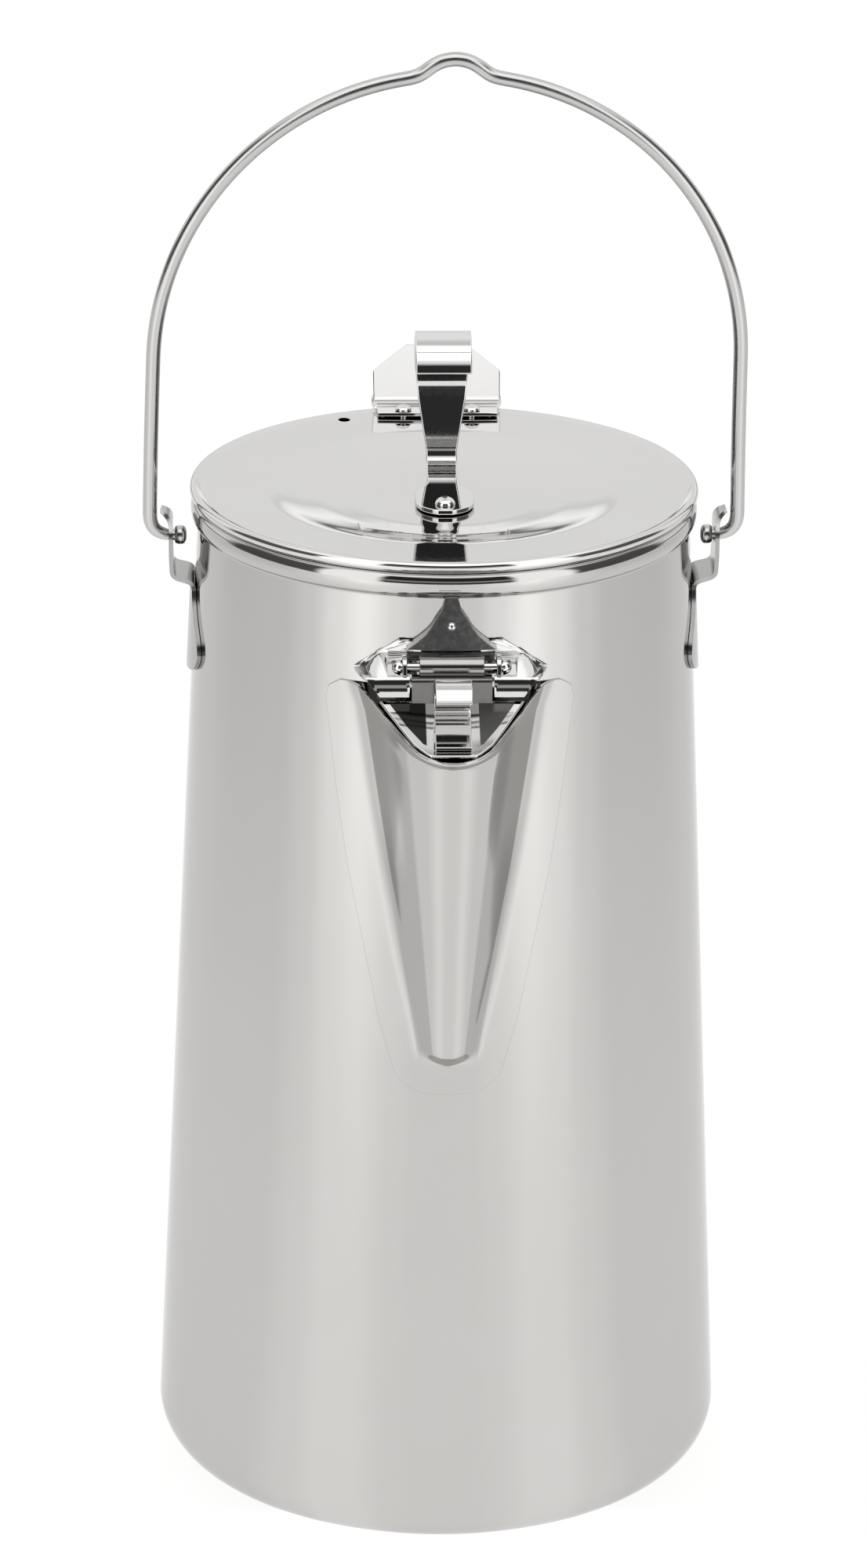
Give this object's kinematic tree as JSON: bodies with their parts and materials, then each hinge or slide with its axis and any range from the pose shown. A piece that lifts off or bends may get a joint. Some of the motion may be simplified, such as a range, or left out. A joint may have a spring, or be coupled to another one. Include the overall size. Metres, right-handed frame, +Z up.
{
  "type": "camping kettle",
  "caption": "Tall polished steel camping kettle with a V spout and hinged spout lid, hinged pot lid with strap knob, and a swinging wire bail.",
  "frame": {"origin": "centre of the flat base on the surface that the kettle stands on", "axes": "+Z up along the pot's axis, -Y towards the spout, X along the line through the two ends of the bail"},
  "size_m": [0.1284, 0.1407, 0.3208],
  "materials": {
    "polished_steel": "mirror-polished stainless steel",
    "bright_steel": "bright stainless sheet, polished after bending",
    "steel_wire": "drawn stainless wire, lightly polished"
  },
  "bodies": {
    "pot": {"body_shell": "polished_steel", "spout": "polished_steel", "bail_ear_left": "bright_steel", "bail_ear_right": "bright_steel", "lid_hinge_bracket": "bright_steel", "lid_hinge_pin": "bright_steel", "spout_hinge_bracket": "bright_steel", "spout_hinge_pin": "bright_steel"},
    "bail": {"bail_handle": "steel_wire"},
    "lid": {"lid": "polished_steel", "lid_knob": "bright_steel", "lid_knob_rivet": "bright_steel", "lid_knob_washer": "bright_steel", "lid_hinge_leaf": "bright_steel", "lid_hinge_rivet_left": "bright_steel", "lid_hinge_rivet_right": "bright_steel"},
    "spout_lid": {"spout_lid": "bright_steel", "spout_lid_tab": "bright_steel"}
  },
  "joints": [
    {"name": "bail_swing", "type": "hinge", "parent": "pot", "child": "bail", "pos_m": [0, 0, 0.2112], "axis": [1, 0, 0], "range_deg": [-150, 130]},
    {"name": "lid_hinge", "type": "hinge", "parent": "pot", "child": "lid", "pos_m": [0, 0.0574, 0.2228], "axis": [-1, 0, 0], "range_deg": [0, 100]},
    {"name": "spout_lid_hinge", "type": "hinge", "parent": "pot", "child": "spout_lid", "pos_m": [0, -0.0575, 0.2016], "axis": [-1, 0, 0], "range_deg": [0, 86]}
  ]
}
